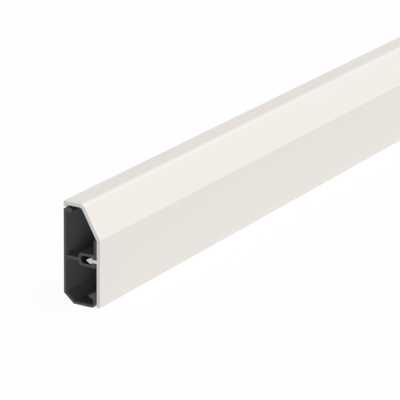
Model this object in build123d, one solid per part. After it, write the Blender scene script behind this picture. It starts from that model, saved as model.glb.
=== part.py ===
from build123d import *
import os

# Skirting trunking: a base for the foot of a wall and a clip-on cover, both extruded.
# Frame: X along the length, front towards -Y, Z up from the floor.
# Sections are drawn in two distances: out from the wall, and up from the floor.

# Overall sizes, in millimetres
length = 2000.0             # as the stock is sold
height = 50.0               # floor to the top of the cover
depth = 20.0                # wall to the front of the cover

# Cover
cover_wall = 1.8
shelf_reach = 10.8          # wall to where the top shelf would meet the sloping face
slope_drop = 16.2           # shelf down to where the sloping face would meet the front
shelf_round = 3.5           # outer radius from the shelf into the sloping face
crease_round = 1.2          # outer radius from the sloping face into the front
cover_lift = 0.6            # the cover's lower edge clears the floor

# Barbed rail inside the cover
rail_drop = 10.8            # crease down to the rail's centre line
neck_wall = 1.7
barb_height = 2.85          # across the two shoulders
barb_land = 0.7             # full-height stretch behind the shoulders
barb_length = 2.85          # shoulders to tip
tip_height = 0.6            # blunt tip

# Fits between the two pieces
front_clearance = 0.5       # base to the inside of the cover's front
shelf_clearance = 0.5       # ridge of the base's top lip to the underside of the shelf
catch_clearance = 0.15      # barb's shoulders to the steep side of the clip's catch
neck_clearance = 0.05       # rail's neck to the catch it rests on
barb_clearance = 0.45       # barb's shoulders to the inside of each arm
tip_clearance = 3.15        # barb's tip to the inside of the clip's back

# Base shell
base_wall = 1.3
heel_slope_out = 5.45       # slope at the back of the foot
heel_slope_up = 4.6
toe_round = 2.6             # outer radius from the foot into the front lip

# Top lip, a ridge that slopes down to the wall and thins towards its free edge
top_slope_out = 2.15        # ridge to the wall
top_slope_down = 1.55
top_lip_reach = 4.7         # wall to the free edge
top_lip_fall = 1.0          # ridge down to the free edge
top_lip_edge = 1.6          # height of the free edge
top_lip_taper = 0.35        # underside's fall from the free edge to the back wall

# Front lip and its hooked edge
front_lip_height = 7.95
hook_reach = 3.8            # front of the lip to the hook's blunt edge
hook_fall = 1.75            # slope of the hook's upper side
hook_edge = 1.2             # height of its blunt edge
hook_root = 3.65            # lip's top down to where the hook's underside meets it
hook_round = 1.2            # radius from the hook's underside into the lip

# Partition, clip and upright
partition_wall = 1.35
partition_drop = 0.2        # rail's centre line down to the partition's
clip_wall = 1.3
clip_outer_round = 2.0      # outer radius of the clip's back corners
clip_upper_round = 1.0      # inner radius at the back of the upper arm
clip_lower_round = 1.8      # inner radius at the back of the lower arm
catch_length = 2.05         # front of the base to the catch's steep side
catch_land = 0.75           # flat crest of the catch
catch_lead = 0.55           # fall of its lead-in, crest to mouth
upright_wall = 1.0
upright_drop = 0.3          # upright's top below the crease

# Rounded corners of both sections
edge_round = 0.2            # corners that stick out
root_round = 0.4            # corners that turn in
round_limit = 0.3           # largest radius as a share of the corner's shorter edge
probe_radius = 0.02         # small circle that tells corners from smooth joins
smooth_join = 0.03

# Places that follow from the sizes above
crease_height = height - slope_drop
rail_height = crease_height - rail_drop
base_front = depth - cover_wall - front_clearance
base_top = height - cover_wall - shelf_clearance
catch_out = base_front - catch_length
shoulder_out = catch_out - catch_clearance
tip_out = shoulder_out - barb_length
clip_back = tip_out - tip_clearance - clip_wall
clip_inside = barb_height / 2 + barb_clearance
clip_outside = clip_inside + clip_wall
partition_height = rail_height - partition_drop
front_lip_root = front_lip_height - hook_root
top_lip_low = base_top - top_lip_fall - top_lip_edge
top_lip_root = top_lip_low - top_lip_taper
section_plane = Plane(origin=(0, depth / 2, 0), x_dir=(0, -1, 0), z_dir=(-1, 0, 0))


def walled_path(points, radii, wall):
    """A wall of even thickness, on the right of a path with rounded bends."""
    path = FilletPolyline(*points, radius=radii)
    return make_face(offset(path, wall, side=Side.RIGHT))


def block(out_from, out_to, up_from, up_to):
    """A rectangle between two distances from the wall and two heights."""
    corner = Pos(out_from, up_from)
    return corner * Rectangle(out_to - out_from, up_to - up_from, align=(Align.MIN, Align.MIN))


def above_rail(points):
    """Points given as heights above the rail's centre line, as heights from the floor."""
    return [(out, rail_height + up) for out, up in points]


def corner_radius(section, corner):
    """Radius for a corner, from how much of a small circle about it is solid: half at a smooth join."""
    probe = Pos(corner.X, corner.Y) * Circle(probe_radius)
    solid_share = sum(face.area for face in (probe & section).faces()) / probe.area
    if abs(solid_share - 0.5) < smooth_join:
        return 0
    shorter_edge = min(edge.length for edge in section.edges() if corner in edge.vertices())
    return min(root_round if solid_share > 0.5 else edge_round, round_limit * shorter_edge)


def round_corners(section):
    """Rounds every corner of a section and leaves smooth joins alone."""
    radii = [(corner.center(), corner_radius(section, corner)) for corner in section.vertices()]
    for place, radius in radii:
        if radius > 0:
            section = fillet(section.vertices().sort_by_distance(place)[0], radius)
    return section


def cover_section():
    """Shelf, sloping face and front in one wall, with the barbed rail behind the front."""
    bends = [(0, height), (shelf_reach, height), (depth, crease_height), (depth, cover_lift)]
    skin = walled_path(bends, [shelf_round, crease_round], cover_wall)
    upper_half = [
        (depth - cover_wall / 2, neck_wall / 2),
        (shoulder_out, neck_wall / 2),
        (shoulder_out, barb_height / 2),
        (shoulder_out - barb_land, barb_height / 2),
        (tip_out, tip_height / 2),
    ]
    lower_half = [(out, -up) for out, up in reversed(upper_half)]
    rail = make_face(Polyline(*above_rail(upper_half + lower_half), close=True))
    return skin + rail


def hook():
    """Hooked upper edge of the front lip."""
    edge_out = base_front - hook_reach
    edge_top = front_lip_height - hook_fall
    return make_face(Polyline(
        (base_front, front_lip_root),
        (base_front, front_lip_height),
        (edge_out, edge_top),
        (edge_out, edge_top - hook_edge),
        (base_front - base_wall, front_lip_root),
        close=True,
    ))


def top_lip():
    """Lip at the top of the back wall."""
    return make_face(Polyline(
        (0, top_lip_root),
        (0, base_top - top_slope_down),
        (top_slope_out, base_top),
        (top_lip_reach, base_top - top_lip_fall),
        (top_lip_reach, top_lip_low),
        (base_wall, top_lip_root),
        close=True,
    ))


def shell():
    """Front lip, foot, heel slope and back wall in one wall, with the hook and the top lip at its ends."""
    bends = [
        (base_front, front_lip_root),
        (base_front, 0),
        (heel_slope_out, 0),
        (0, heel_slope_up),
        (0, top_lip_root),
    ]
    section = walled_path(bends, [toe_round, 0, 0], base_wall) + hook() + top_lip()
    under_hook = section.vertices().sort_by_distance((base_front - base_wall, front_lip_root))[0]
    return fillet(under_hook, hook_round)


def socket(back, half_height, upper_round, lower_round):
    """Outline about the rail's centre line, square at the base's front and rounded at its back."""
    corners = above_rail([
        (base_front, -half_height),
        (back, -half_height),
        (back, half_height),
        (base_front, half_height),
    ])
    return make_face(FilletPolyline(*corners, radius=[0, lower_round, upper_round, 0], close=True))


def clip():
    """C-shaped clip, open to the front, with a catch inside the end of its lower arm."""
    outside = socket(clip_back, clip_outside, clip_outer_round, clip_outer_round)
    inside = socket(clip_back + clip_wall, clip_inside, clip_upper_round, clip_lower_round)
    catch_crest = -neck_wall / 2 - neck_clearance
    catch_root = -clip_inside - clip_wall / 2
    catch = above_rail([
        (catch_out, catch_root),
        (catch_out, catch_crest),
        (catch_out + catch_land, catch_crest),
        (base_front, catch_crest - catch_lead),
        (base_front, catch_root),
    ])
    return outside - inside + make_face(Polyline(*catch, close=True))


def base_section():
    """Shell, partition, clip and the upright that backs the cover's front."""
    partition_half = partition_wall / 2
    partition = block(
        base_wall / 2, clip_back + clip_wall / 2,
        partition_height - partition_half, partition_height + partition_half,
    )
    upright = block(
        base_front - upright_wall, base_front,
        rail_height + clip_inside + clip_wall / 2, crease_height - upright_drop,
    )
    return shell() + partition + clip() + upright


def extruded(section):
    """A section with its corners rounded, run the whole length."""
    return extrude(section_plane * round_corners(section), amount=length / 2, both=True)


os.makedirs("parts", exist_ok=True)
export_step(extruded(base_section()), "parts/trunking_base.step")
export_step(extruded(cover_section()), "parts/clip_on_cover.step")
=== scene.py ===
import math

import bpy
from mathutils import Matrix, Vector


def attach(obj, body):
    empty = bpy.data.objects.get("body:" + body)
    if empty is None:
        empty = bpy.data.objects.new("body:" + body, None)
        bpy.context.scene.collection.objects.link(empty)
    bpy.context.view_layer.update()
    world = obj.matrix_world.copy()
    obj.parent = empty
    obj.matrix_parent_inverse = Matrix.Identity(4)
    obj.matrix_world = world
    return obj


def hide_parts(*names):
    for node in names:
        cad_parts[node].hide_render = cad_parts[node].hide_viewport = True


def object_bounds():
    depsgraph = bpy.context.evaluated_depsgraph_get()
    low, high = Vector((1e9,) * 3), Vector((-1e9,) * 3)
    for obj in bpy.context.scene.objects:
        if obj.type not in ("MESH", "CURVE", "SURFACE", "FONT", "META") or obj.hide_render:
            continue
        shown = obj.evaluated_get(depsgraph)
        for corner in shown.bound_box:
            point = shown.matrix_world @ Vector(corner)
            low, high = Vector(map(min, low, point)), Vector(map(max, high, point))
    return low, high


# Skirting trunking: a dark base and a cream clip-on cover, each one section swept along its length.
# Frame: metres, X along the length, front towards -Y, Z up from the floor.

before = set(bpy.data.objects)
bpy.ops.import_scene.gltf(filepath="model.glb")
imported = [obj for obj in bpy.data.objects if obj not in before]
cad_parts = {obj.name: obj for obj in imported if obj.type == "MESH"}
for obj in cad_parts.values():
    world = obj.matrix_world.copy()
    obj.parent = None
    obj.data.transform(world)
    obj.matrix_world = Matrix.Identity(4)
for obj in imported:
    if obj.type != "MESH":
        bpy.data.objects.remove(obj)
cad_low, cad_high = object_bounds()

MM = 0.001

# Overall sizes, in millimetres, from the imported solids
length = (cad_high.x - cad_low.x) / MM
depth = (cad_high.y - cad_low.y) / MM
height = (cad_high.z - cad_low.z) / MM

# Cover, in millimetres
cover_wall = 1.8
shelf_reach = 10.8          # wall to where the top shelf would meet the sloping face
slope_drop = 16.2           # shelf down to where the sloping face would meet the front
shelf_round = 3.5           # outer radius from the shelf into the sloping face
crease_round = 1.2          # outer radius from the sloping face into the front
cover_lift = 0.6            # lower edge above the floor
bead_drop = 0.95            # bead under the shelf's rear edge, which hooks behind the base's top lip
bead_width = 1.4
bead_slope = 0.4            # from its front corner up to the shelf

# Barbed rail inside the cover
rail_drop = 10.8            # crease down to the rail's centre line
neck_wall = 1.7
barb_height = 2.85
barb_land = 0.7
barb_length = 2.85
tip_height = 0.6

# Fits between the two pieces
front_clearance = 0.5
shelf_clearance = 0.5
catch_clearance = 0.15
neck_clearance = 0.05
barb_clearance = 0.45
tip_clearance = 3.15

# Base shell
base_wall = 1.3
heel_slope_out = 5.45
heel_slope_up = 4.6
toe_round = 2.6

# Top lip
top_slope_out = 2.15
top_slope_down = 1.55
top_lip_reach = 4.7
top_lip_fall = 1.0
top_lip_edge = 1.6
top_lip_taper = 0.35

# Front lip and its hooked edge
front_lip_height = 7.95
hook_reach = 3.8
hook_fall = 1.75
hook_edge = 1.2
hook_root = 3.65
hook_round = 1.2

# Partition, clip and upright
partition_wall = 1.35
partition_drop = 0.2        # rail's centre line down to the partition's
clip_wall = 1.3
clip_outer_round = 2.0
clip_upper_round = 1.0
clip_lower_round = 1.8
catch_length = 2.05
catch_land = 0.75
catch_lead = 0.55
upright_wall = 1.0
upright_drop = 0.3

# Small rounds
edge_round = 0.2            # corners that stick out
root_round = 0.4            # corners that turn in
round_limit = 0.3           # largest radius as a share of the corner's shorter edge
sawn_edge = 0.08            # edge broken after sawing

# Fineness of the meshes
wide_arc_steps = 16         # for radii over wide_arc
narrow_arc_steps = 6
wide_arc = 1.0
length_steps = 41
sawn_edge_steps = 2
sharp_angle = 60            # only the sawn ends have edges sharper than this, in degrees
flat_face_weight = 100      # of the large faces, when the normals are smoothed

# Places that follow from the sizes above
crease_height = height - slope_drop
rail_height = crease_height - rail_drop
base_front = depth - cover_wall - front_clearance
base_top = height - cover_wall - shelf_clearance
catch_out = base_front - catch_length
shoulder_out = catch_out - catch_clearance
tip_out = shoulder_out - barb_length
clip_back = tip_out - tip_clearance - clip_wall
clip_inside = barb_height / 2 + barb_clearance
clip_outside = clip_inside + clip_wall
partition_height = rail_height - partition_drop
partition_top = partition_height + partition_wall / 2
partition_low = partition_height - partition_wall / 2
socket_back = clip_back + clip_wall
top_lip_low = base_top - top_lip_fall - top_lip_edge
sawn_from = length / 2 - 0.4 * sawn_edge    # the cut's finish starts within the broken edge


# Sections: corners in order round the outline, as (out from the wall, up from the floor, radius)

def inset(path, wall):
    """The inner corners of a wall of even thickness on the right of a path."""
    points = [Vector(point) for point in path]
    runs = [(after - before).normalized() for before, after in zip(points, points[1:])]
    sides = [Vector((run.y, -run.x)) for run in runs]
    inner = [points[0] + wall * sides[0]]
    for corner, before, after in zip(points[1:], sides, sides[1:]):
        inner.append(corner + wall * (before + after) / (1 + before.dot(after)))
    inner.append(points[-1] + wall * sides[-1])
    return [tuple(point) for point in inner]


def above_rail(points):
    """Corners given as heights above the rail's centre line, as heights from the floor."""
    return [(out, rail_height + up, *radius) for out, up, *radius in points]


def cover_corners():
    """Round the cover: shelf, slope and front outside, then up the inside past the rail to the bead."""
    path = [(0, height), (shelf_reach, height), (depth, crease_height), (depth, cover_lift)]
    (_, shelf_low), under_shelf, under_crease, lower_edge = inset(path, cover_wall)
    upper_half = [
        (tip_out, tip_height / 2),
        (shoulder_out - barb_land, barb_height / 2),
        (shoulder_out, barb_height / 2),
        (shoulder_out, neck_wall / 2),
        (depth - cover_wall, neck_wall / 2),
    ]
    lower_half = [(out, -up) for out, up in reversed(upper_half)]
    return [
        path[0],
        (*path[1], shelf_round),
        (*path[2], crease_round),
        path[3],
        lower_edge,
        *above_rail(lower_half + upper_half),
        under_crease,
        (*under_shelf, shelf_round - cover_wall),
        (bead_width + bead_slope, shelf_low),
        (bead_width, shelf_low - bead_drop),
        (0, shelf_low - bead_drop),
    ]


def clip_corners():
    """Round the C-shaped clip, from the partition's top to its underside, with the catch in its mouth."""
    upright_top = crease_height - upright_drop - rail_height
    catch_crest = -neck_wall / 2 - neck_clearance
    return above_rail([
        (clip_back, partition_top - rail_height),
        (clip_back, clip_outside, clip_outer_round),
        (base_front - upright_wall, clip_outside),
        (base_front - upright_wall, upright_top),
        (base_front, upright_top),
        (base_front, clip_inside),
        (socket_back, clip_inside, clip_upper_round),
        (socket_back, -clip_inside, clip_lower_round),
        (catch_out, -clip_inside),
        (catch_out, catch_crest),
        (catch_out + catch_land, catch_crest),
        (base_front, catch_crest - catch_lead),
        (base_front, -clip_outside),
        (clip_back, -clip_outside, clip_outer_round),
        (clip_back, partition_low - rail_height),
    ])


def base_corners():
    """Round the base: front lip, foot, back and top lip, then the chambers and the clip between them."""
    path = [
        (base_front, front_lip_height),
        (base_front, 0),
        (heel_slope_out, 0),
        (0, heel_slope_up),
        (0, base_top - top_slope_down),
    ]
    inner = inset(path, base_wall)
    hook_top = front_lip_height - hook_fall
    return [
        path[0],
        (*path[1], toe_round),
        *path[2:],
        (top_slope_out, base_top),
        (top_lip_reach, base_top - top_lip_fall),
        (top_lip_reach, top_lip_low),
        (base_wall, top_lip_low - top_lip_taper),
        (base_wall, partition_top),
        *clip_corners(),
        (base_wall, partition_low),
        inner[3],
        inner[2],
        (*inner[1], toe_round - base_wall),
        (base_front - base_wall, front_lip_height - hook_root, hook_round),
        (base_front - hook_reach, hook_top - hook_edge),
        (base_front - hook_reach, hook_top),
    ]


def corner_radii(corners):
    """The radius at each corner: its own, or the small round for corners that stick out or turn in."""
    points = [Vector(corner[:2]) for corner in corners]
    radii = []
    for index, corner in enumerate(corners):
        run_in = points[index] - points[index - 1]
        run_out = points[(index + 1) % len(points)] - points[index]
        turns_in = run_in.x * run_out.y - run_in.y * run_out.x > 0
        small = min(
            root_round if turns_in else edge_round,
            round_limit * min(run_in.length, run_out.length),
        )
        radii.append(corner[2] if len(corner) > 2 else small)
    return radii


# Sweeping a section

def extrusion_tree():
    """Geometry nodes that round a section's corners and sweep it along the length, with closed ends."""
    tree = bpy.data.node_groups.new("extrusion", "GeometryNodeTree")
    tree.interface.new_socket("Section", in_out="INPUT", socket_type="NodeSocketGeometry")
    tree.interface.new_socket("Length", in_out="INPUT", socket_type="NodeSocketFloat")
    tree.interface.new_socket("Length Steps", in_out="INPUT", socket_type="NodeSocketInt")
    tree.interface.new_socket("Plastic", in_out="INPUT", socket_type="NodeSocketMaterial")
    tree.interface.new_socket("Extrusion", in_out="OUTPUT", socket_type="NodeSocketGeometry")

    def node(kind, settings=None, sockets=None):
        made = tree.nodes.new(kind)
        for setting, value in (settings or {}).items():
            setattr(made, setting, value)
        for socket, value in (sockets or {}).items():
            if isinstance(value, bpy.types.NodeSocket):
                tree.links.new(value, made.inputs[socket])
            else:
                made.inputs[socket].default_value = value
        return made

    def attribute(name, data_type):
        found = node("GeometryNodeInputNamedAttribute", {"data_type": data_type}, {"Name": name})
        return found.outputs[0]

    def end(side):
        along = node("ShaderNodeMath", {"operation": "MULTIPLY"}, {0: sizes["Length"], 1: side / 2})
        return node("ShaderNodeCombineXYZ", sockets={"X": along.outputs[0]}).outputs[0]

    sizes = node("NodeGroupInput").outputs
    outline = node("GeometryNodeMeshToCurve", sockets={"Mesh": sizes["Section"]})
    rounded = node("GeometryNodeFilletCurve", {"mode": "POLY"}, {
        "Curve": outline.outputs[0],
        "Count": attribute("corner_steps", "INT"),
        "Radius": attribute("corner_radius", "FLOAT"),
    })
    line = node("GeometryNodeCurvePrimitiveLine", sockets={"Start": end(-1), "End": end(1)})
    stepped = node("GeometryNodeResampleCurve", sockets={
        "Curve": line.outputs[0],
        "Count": sizes["Length Steps"],
    })
    swept = node("GeometryNodeCurveToMesh", sockets={
        "Curve": stepped.outputs[0],
        "Profile Curve": rounded.outputs[0],
        "Fill Caps": True,
    })
    smooth = node("GeometryNodeSetShadeSmooth", sockets={"Geometry": swept.outputs[0]})
    real = node("GeometryNodeRealizeInstances", sockets={"Geometry": smooth.outputs[0]})
    coloured = node("GeometryNodeSetMaterial", sockets={
        "Geometry": real.outputs[0],
        "Material": sizes["Plastic"],
    })
    node("NodeGroupOutput", sockets={"Extrusion": coloured.outputs[0]})
    return tree


def outline_mesh(name, corners):
    """A closed outline of a section's corners, drawn as the sweep reads it: x outwards, y downwards."""
    count = len(corners)
    mesh = bpy.data.meshes.new(name)
    points = [((out - depth / 2) * MM, -up * MM, 0) for out, up, *_ in corners]
    mesh.from_pydata(points, [(index, (index + 1) % count) for index in range(count)], [])
    radii = corner_radii(corners)
    metres = [radius * MM for radius in radii]
    steps = [wide_arc_steps if radius > wide_arc else narrow_arc_steps for radius in radii]
    mesh.attributes.new("corner_radius", "FLOAT", "POINT").data.foreach_set("value", metres)
    mesh.attributes.new("corner_steps", "INT", "POINT").data.foreach_set("value", steps)
    return mesh


def sawn_length(name, corners, tree, plastic):
    """A section swept to the whole length, with its sawn edges broken, as a plain mesh."""
    piece = bpy.data.objects.new(name, outline_mesh(name, corners))
    bpy.context.scene.collection.objects.link(piece)
    sweep = piece.modifiers.new("extrusion", "NODES")
    sweep.node_group = tree
    inputs = {item.name: item.identifier for item in tree.interface.items_tree if item.in_out == "INPUT"}
    sweep[inputs["Length"]] = length * MM
    sweep[inputs["Length Steps"]] = length_steps
    sweep[inputs["Plastic"]] = plastic
    broken = piece.modifiers.new("sawn_edge", "BEVEL")
    broken.width = sawn_edge * MM
    broken.segments = sawn_edge_steps
    broken.limit_method = "ANGLE"
    broken.angle_limit = math.radians(sharp_angle)
    piece.modifiers.new("flat_faces", "WEIGHTED_NORMAL").weight = flat_face_weight
    bpy.context.view_layer.update()
    evaluated = piece.evaluated_get(bpy.context.evaluated_depsgraph_get())
    mesh = bpy.data.meshes.new_from_object(evaluated)
    piece.modifiers.clear()
    outline = piece.data
    piece.data = mesh
    bpy.data.meshes.remove(outline)
    mesh.name = name
    return piece


# Plastics: sizes along each axis in millimetres, and how much each mark changes the tone, gloss or relief

die_line_size = (900, 0.8, 0.8)
broad_line_size = (1500, 4, 4)
tone_size = (120, 18, 18)
saw_mark_size = (50, 0.14, 9)
saw_slant = 24              # degrees, the slant of the blade
fine_line_share = 0.6       # of the die lines, the rest are broad
line_gloss = 0.04
tone_gloss = 0.03
sawn_roughness = 0.6
sawn_tone_spread = 0.02
saw_mark_tone = 0.05
saw_mark_gloss = 0.05
saw_mark_depth = 0.012
painted_shade_share = 0.85         # painted shade: share of the skin's colour that a narrow recess loses
painted_shade_margin = 0.2         # the painted shade takes in the recess's own walls
plastic_ior = 1.52


class Wire:
    """An output of a shader node; sums and products of wires add Math nodes."""

    def __init__(self, finish, socket):
        self.finish = finish
        self.socket = socket

    def maths(self, operation, *values):
        return self.finish.node("ShaderNodeMath", {"operation": operation}, dict(enumerate(values)))

    def __add__(self, other):
        return self.maths("ADD", self, other)

    def __sub__(self, other):
        return self.maths("SUBTRACT", self, other)

    def __rsub__(self, other):
        return self.maths("SUBTRACT", other, self)

    def __mul__(self, other):
        return self.maths("MULTIPLY", self, other)

    def __gt__(self, other):
        return self.maths("GREATER_THAN", self, other)

    def __lt__(self, other):
        return self.maths("LESS_THAN", self, other)

    def __abs__(self):
        return self.maths("ABSOLUTE", self)

    def clamped(self):
        """The value held between 0 and 1."""
        return self.finish.node("ShaderNodeClamp", None, {"Value": self})

    __radd__ = __add__
    __rmul__ = __mul__


class Finish:
    """The nodes of a material or a sky, with one method that adds any node."""

    def __init__(self, holder):
        self.holder = holder
        self.holder.use_nodes = True
        self.tree = self.holder.node_tree
        self.tree.nodes.clear()

    def node(self, kind, settings=None, sockets=None, output=0):
        made = self.tree.nodes.new(kind)
        for setting, value in (settings or {}).items():
            setattr(made, setting, value)
        for socket, value in (sockets or {}).items():
            if isinstance(value, Wire):
                self.tree.links.new(value.socket, made.inputs[socket])
            else:
                made.inputs[socket].default_value = value
        return Wire(self, made.outputs[output]) if made.outputs else made

    def distance(self, place, axis):
        """How far a place lies along an axis, in millimetres."""
        return self.node("ShaderNodeSeparateXYZ", None, {0: place}, output=axis) * (1 / MM)

    def noise(self, place, size, detail=2.0):
        """Noise from -1 to 1, with features of the given size along each axis, in millimetres."""
        scaled = self.node("ShaderNodeMapping", {"vector_type": "POINT"}, {
            "Vector": place,
            "Scale": [1 / (side * MM) for side in size],
        })
        return self.node("ShaderNodeTexNoise", None, {
            "Vector": scaled, "Scale": 1.0, "Detail": detail, "Roughness": 0.55,
        }) * 2 - 1

    def mix(self, share, first, second):
        """A colour between two colours."""
        return self.node("ShaderNodeMix", {"data_type": "RGBA"}, {0: share, 6: first, 7: second}, 2)

    def shade(self, colour, amount):
        """A colour made lighter or darker by a wire about 1."""
        grey = self.node("ShaderNodeCombineColor", None, {0: amount, 1: amount, 2: amount})
        return self.node("ShaderNodeMix", {"data_type": "RGBA", "blend_type": "MULTIPLY"}, {
            0: 1.0, 6: colour, 7: grey,
        }, 2)


def base_painted_shade_mask(out, up):
    """1 in each narrow recess of the base where shade is painted in: the clip's socket, and the slot
    under the shelf.

    In the slot, the painted shade fades out down the lower half of the top lip's free edge.
    """
    between_arms = abs(up - rail_height) < clip_inside + painted_shade_margin
    socket = (out > socket_back - painted_shade_margin) * between_arms
    slot = (out > top_slope_out) * ((up - top_lip_low) * (2 / top_lip_edge)).clamped()
    return socket + slot


def extruded_plastic(name, skin, cut, skin_roughness, line_depth, line_tone, tone_spread, painted_shade_mask=None):
    """Extruded rigid plastic: die lines along the length, slow changes of tone, and rougher sawn ends.

    Shade is painted into each narrow recess it is given, as a darker skin colour.
    """
    finish = Finish(bpy.data.materials.new(name))
    place = finish.node("ShaderNodeTexCoord", output="Object")
    sawn = abs(finish.distance(place, "X")) > sawn_from

    # Die lines, which run on along the length
    die_lines = finish.noise(place, die_line_size)
    broad_lines = finish.noise(place, broad_line_size)
    lines = fine_line_share * die_lines + (1 - fine_line_share) * broad_lines
    tone = finish.noise(place, tone_size)

    # Saw marks across the cut
    turned = finish.node("ShaderNodeMapping", {"vector_type": "POINT"}, {
        "Vector": place, "Rotation": (math.radians(saw_slant), 0, 0),
    })
    saw_marks = finish.noise(turned, saw_mark_size, detail=3.0)

    skin_tone = 1 + tone_spread * tone + line_tone * lines
    # Painted shade: the skin's colour is darkened in each narrow recess, standing in for the shade there
    if painted_shade_mask:
        out = depth / 2 - finish.distance(place, "Y")
        up = finish.distance(place, "Z")
        skin_tone = skin_tone * (1 - painted_shade_share * painted_shade_mask(out, up))
    cut_tone = 1 + saw_mark_tone * saw_marks + sawn_tone_spread * tone
    colour = finish.mix(sawn, finish.shade((*skin, 1), skin_tone), finish.shade((*cut, 1), cut_tone))
    skin_gloss = skin_roughness + line_gloss * die_lines + tone_gloss * tone
    roughness = skin_gloss + sawn * (sawn_roughness + saw_mark_gloss * saw_marks - skin_gloss)
    relief = (1 - sawn) * line_depth * lines + sawn * saw_mark_depth * saw_marks
    bump = finish.node("ShaderNodeBump", None, {"Strength": 1.0, "Distance": MM, "Height": relief})
    surface = finish.node("ShaderNodeBsdfPrincipled", None, {
        "Base Color": colour,
        "Roughness": roughness,
        "Normal": bump,
        "IOR": plastic_ior,
    })
    finish.node("ShaderNodeOutputMaterial", None, {"Surface": surface})
    return finish.holder


# Stage, in metres

floor_half = 12.0
floor_drop = 0.02 * MM      # keeps the floor clear of the foot
floor_grey = 0.3            # throws little light back at the cover's lower edge
floor_glow = 1.095
floor_glow_share = 0.88     # the rest of what is seen is the lit floor, with the object's shadow


def seen_rays(shading):
    """1 for rays that show the stage, straight or by gloss, and 0 for rays that light the object."""
    camera_ray, glossy_ray, clear_ray = (
        shading.node("ShaderNodeLightPath", output=name)
        for name in ("Is Camera Ray", "Is Glossy Ray", "Is Transmission Ray")
    )
    return camera_ray.maths("MAXIMUM", camera_ray, glossy_ray.maths("MAXIMUM", glossy_ray, clear_ray))


def white_floor():
    """A wide light table that shows as white with a faint shadow, and lets the lamps below it through."""
    finish = Finish(bpy.data.materials.new("white_floor"))
    lit = finish.node("ShaderNodeBsdfDiffuse", None, {"Color": (floor_grey, floor_grey, floor_grey, 1)})
    white = finish.node("ShaderNodeEmission", None, {"Color": (1, 1, 1, 1), "Strength": floor_glow})
    glowing = seen_rays(finish) * floor_glow_share
    surface = finish.node("ShaderNodeMixShader", None, {0: glowing, 1: lit, 2: white})
    finish.node("ShaderNodeOutputMaterial", None, {"Surface": surface})

    sides = ((-1, -1), (1, -1), (1, 1), (-1, 1))
    corners = [(x * floor_half, y * floor_half, -floor_drop) for x, y in sides]
    mesh = bpy.data.meshes.new("floor")
    mesh.from_pydata(corners, [], [(0, 1, 2, 3)])
    mesh.materials.append(finish.holder)
    floor = bpy.data.objects.new("floor", mesh)
    floor.visible_shadow = False
    bpy.context.scene.collection.objects.link(floor)


def white_sky(strength):
    """An even sky of the given strength, which shows as white."""
    bpy.context.scene.world = bpy.data.worlds.new("sky")
    sky = Finish(bpy.context.scene.world)
    level = strength + (1 - strength) * seen_rays(sky)
    surface = sky.node("ShaderNodeBackground", None, {"Color": (1, 1, 1, 1), "Strength": level})
    sky.node("ShaderNodeOutputWorld", None, {"Surface": surface})


def soft_lamp(name, azimuth, elevation, strength, spread):
    """A broad far lamp, with its angles in degrees; azimuth runs from the front round to the left."""
    lamp = bpy.data.lights.new(name, "SUN")
    lamp.energy = strength
    lamp.angle = math.radians(spread)
    side, rise = math.radians(azimuth), math.radians(elevation)
    level = math.cos(rise)
    towards = Vector((-math.sin(side) * level, -math.cos(side) * level, math.sin(rise)))
    placed = bpy.data.objects.new(name, lamp)
    placed.rotation_euler = towards.to_track_quat("Z", "Y").to_euler()
    bpy.context.scene.collection.objects.link(placed)


def camera(place, yaw, pitch, roll, focal):
    """A camera at a place: yaw from +Y towards +X, pitch below the horizon, angles in degrees."""
    view = bpy.data.cameras.new("camera")
    view.sensor_fit = "HORIZONTAL"
    view.sensor_width = 36.0
    view.lens = focal
    view.clip_start = 0.05
    view.clip_end = 100.0
    turn = Matrix.Rotation(-math.radians(yaw), 4, "Z")
    tip = Matrix.Rotation(math.radians(90 - pitch), 4, "X")
    tilt = Matrix.Rotation(math.radians(roll), 4, "Z")
    viewer = bpy.data.objects.new("camera", view)
    viewer.matrix_world = Matrix.Translation(place) @ turn @ tip @ tilt
    bpy.context.scene.collection.objects.link(viewer)
    bpy.context.scene.camera = viewer


# The two pieces
cream = extruded_plastic(
    "cream_plastic", skin=(0.85, 0.805, 0.76), cut=(0.83, 0.83, 0.78),
    skin_roughness=0.5, line_depth=0.001, line_tone=0.006, tone_spread=0.006,
)
# Painted light: the dark skin is over three times lighter than its own sawn cut, which lifts the shaded
# chambers inside
dark_grey = extruded_plastic(
    "dark_grey_plastic", skin=(0.15, 0.15, 0.15), cut=(0.045, 0.045, 0.045),
    # painted shade darkens the skin in the clip's socket and the slot under the shelf
    skin_roughness=0.42, line_depth=0.004, line_tone=0.45, tone_spread=0.08, painted_shade_mask=base_painted_shade_mask,
)

sweep_tree = extrusion_tree()
base = sawn_length("grey_base", base_corners(), sweep_tree, dark_grey)
cover = sawn_length("cream_cover", cover_corners(), sweep_tree, cream)
for piece, node, slot in (
    (base, "trunking_base", "base_plastic"),
    (cover, "clip_on_cover", "cover_plastic"),
):
    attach(piece, "root")
    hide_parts(node)

# Floor, light and camera
white_floor()
white_sky(strength=0.05)
soft_lamp("key", azimuth=-42, elevation=60, strength=2.75, spread=50)
soft_lamp("front", azimuth=-28, elevation=-13, strength=0.94, spread=40)
soft_lamp("end", azimuth=62, elevation=10, strength=0.5, spread=30)
soft_lamp("low_end", azimuth=68, elevation=-14, strength=1.4, spread=40)
camera(
    place=(-1.9737665, -0.6326897, 0.4419826),
    yaw=59.6847, pitch=18.5461, roll=0.7389, focal=238.448,
)
bpy.context.scene.view_settings.view_transform = "Standard"
